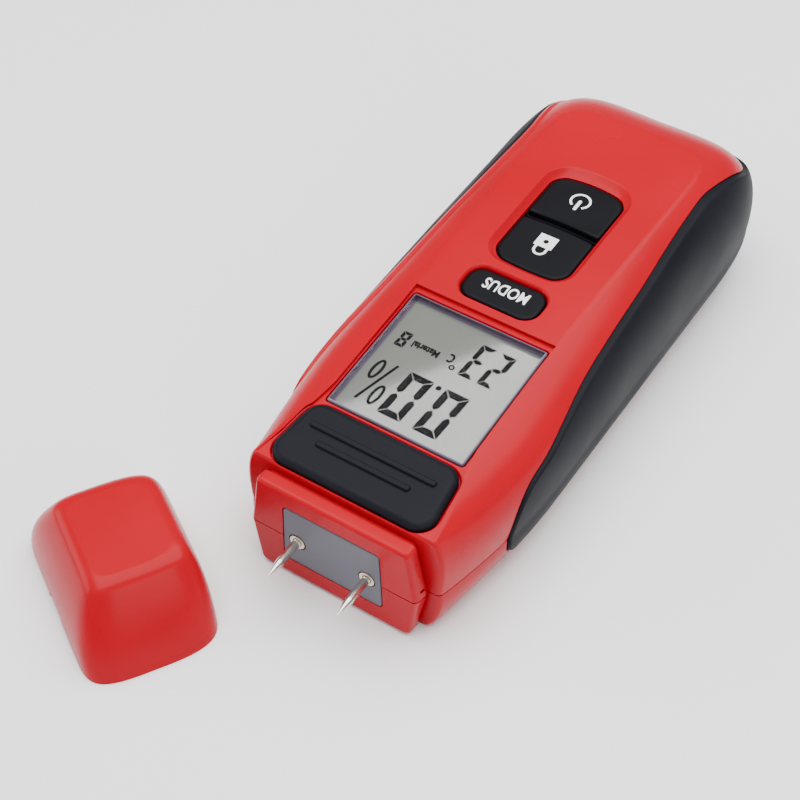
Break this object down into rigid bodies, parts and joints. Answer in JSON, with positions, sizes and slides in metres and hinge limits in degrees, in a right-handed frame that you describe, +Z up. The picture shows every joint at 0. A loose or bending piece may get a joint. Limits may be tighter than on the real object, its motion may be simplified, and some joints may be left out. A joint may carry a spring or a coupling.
{
  "type": "pin moisture meter",
  "caption": "Handheld pin moisture meter lying on its back: sloped display, three keys, thumb pad, side grips, battery door, and its protective cap standing beside the nose.",
  "frame": {"origin": "middle of the housing's length and width, on the flat underside that the meter lies on", "axes": "+Z up, away from the underside; +Y from the pins towards the tail; X across the housing, with +X on the viewer's right when the pins point down the page"},
  "size_m": [0.0976, 0.2001, 0.0386],
  "materials": {
    "red_abs": "glossy moulded",
    "soft_rubber": "satin",
    "key_rubber": "matte",
    "clear_lens": "clear polished",
    "lcd": "satin",
    "grey_plastic": "satin",
    "black_plastic": "matte",
    "strip_rubber": "matte",
    "board_green": "satin",
    "pin_steel": "polished",
    "brass": "machined",
    "zinc": "zinc plated",
    "battery_wrap": "satin wrap",
    "foam": "open cell",
    "lead_red": "insulation",
    "lead_black": "insulation"
  },
  "bodies": {
    "case": {"upper_shell": "red_abs", "lower_shell": "red_abs", "left_grip": "soft_rubber", "right_grip": "soft_rubber", "thumb_pad": "soft_rubber", "display_lens": "clear_lens", "lcd_glass": "lcd", "lcd_holder": "black_plastic", "contact_strip_front": "strip_rubber", "contact_strip_rear": "strip_rubber", "main_board": "board_green", "controller_chip": "black_plastic", "temperature_sensor": "black_plastic", "power_switch": "zinc", "hold_switch": "zinc", "mode_switch": "zinc", "electrode_plate": "grey_plastic", "left_pin": "pin_steel", "right_pin": "pin_steel", "left_socket": "brass", "right_socket": "brass", "left_contact": "brass", "right_contact": "brass", "battery": "battery_wrap", "battery_connector": "black_plastic", "battery_lead_positive": "lead_red", "battery_lead_negative": "lead_black", "foam_pad": "foam", "case_screw_front_left": "zinc", "case_screw_front_right": "zinc", "case_screw_rear_left": "zinc", "case_screw_rear_right": "zinc", "board_screw_front": "zinc", "board_screw_rear": "zinc"},
    "power_button": {"power_key": "key_rubber", "power_plunger": "black_plastic"},
    "hold_button": {"hold_key": "key_rubber", "hold_plunger": "black_plastic"},
    "mode_button": {"mode_key": "key_rubber", "mode_plunger": "black_plastic"},
    "battery_door": {"battery_door": "red_abs"},
    "cap": {"protective_cap": "red_abs"}
  },
  "joints": [
    {"name": "power_press", "type": "slide", "parent": "case", "child": "power_button", "axis": [0, 0, -1], "range_m": [0, 0.0007], "stiffness_N_per_m": 2000, "springref_m": -0.0003},
    {"name": "hold_press", "type": "slide", "parent": "case", "child": "hold_button", "axis": [0, 0, -1], "range_m": [0, 0.0007], "stiffness_N_per_m": 2000, "springref_m": -0.0003},
    {"name": "mode_press", "type": "slide", "parent": "case", "child": "mode_button", "axis": [0, 0, -1], "range_m": [0, 0.0007], "stiffness_N_per_m": 2000, "springref_m": -0.0003},
    {"name": "battery_door_slide", "type": "slide", "parent": "case", "child": "battery_door", "axis": [0, 1, 0], "range_m": [0, 0.06]},
    {"name": "cap_lift", "type": "slide", "parent": "case", "child": "cap", "axis": [0, 0, 1], "range_m": [0, 0.1]}
  ]
}
